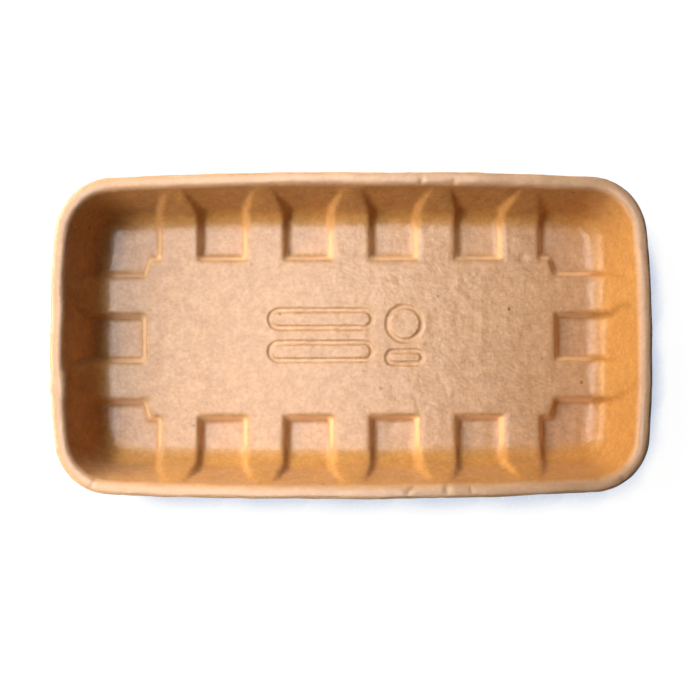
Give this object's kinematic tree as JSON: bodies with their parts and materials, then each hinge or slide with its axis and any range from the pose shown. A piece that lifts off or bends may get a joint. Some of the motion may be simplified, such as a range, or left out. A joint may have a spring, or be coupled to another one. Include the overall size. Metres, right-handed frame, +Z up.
{
  "type": "pulp produce tray",
  "caption": "Shallow rectangular moulded-pulp tray with a raised ribbed floor, sloping walls and a rolled rim, for holding fruit or vegetables.",
  "frame": {"origin": "under the middle of the tray, on the plane that its feet rest on", "axes": "+X along the long way, +Y across, +Z up out of the open side"},
  "size_m": [0.24, 0.1312, 0.03],
  "materials": {
    "moulded_pulp": "matte"
  },
  "bodies": {
    "root": {"tray": "moulded_pulp"}
  },
  "joints": []
}
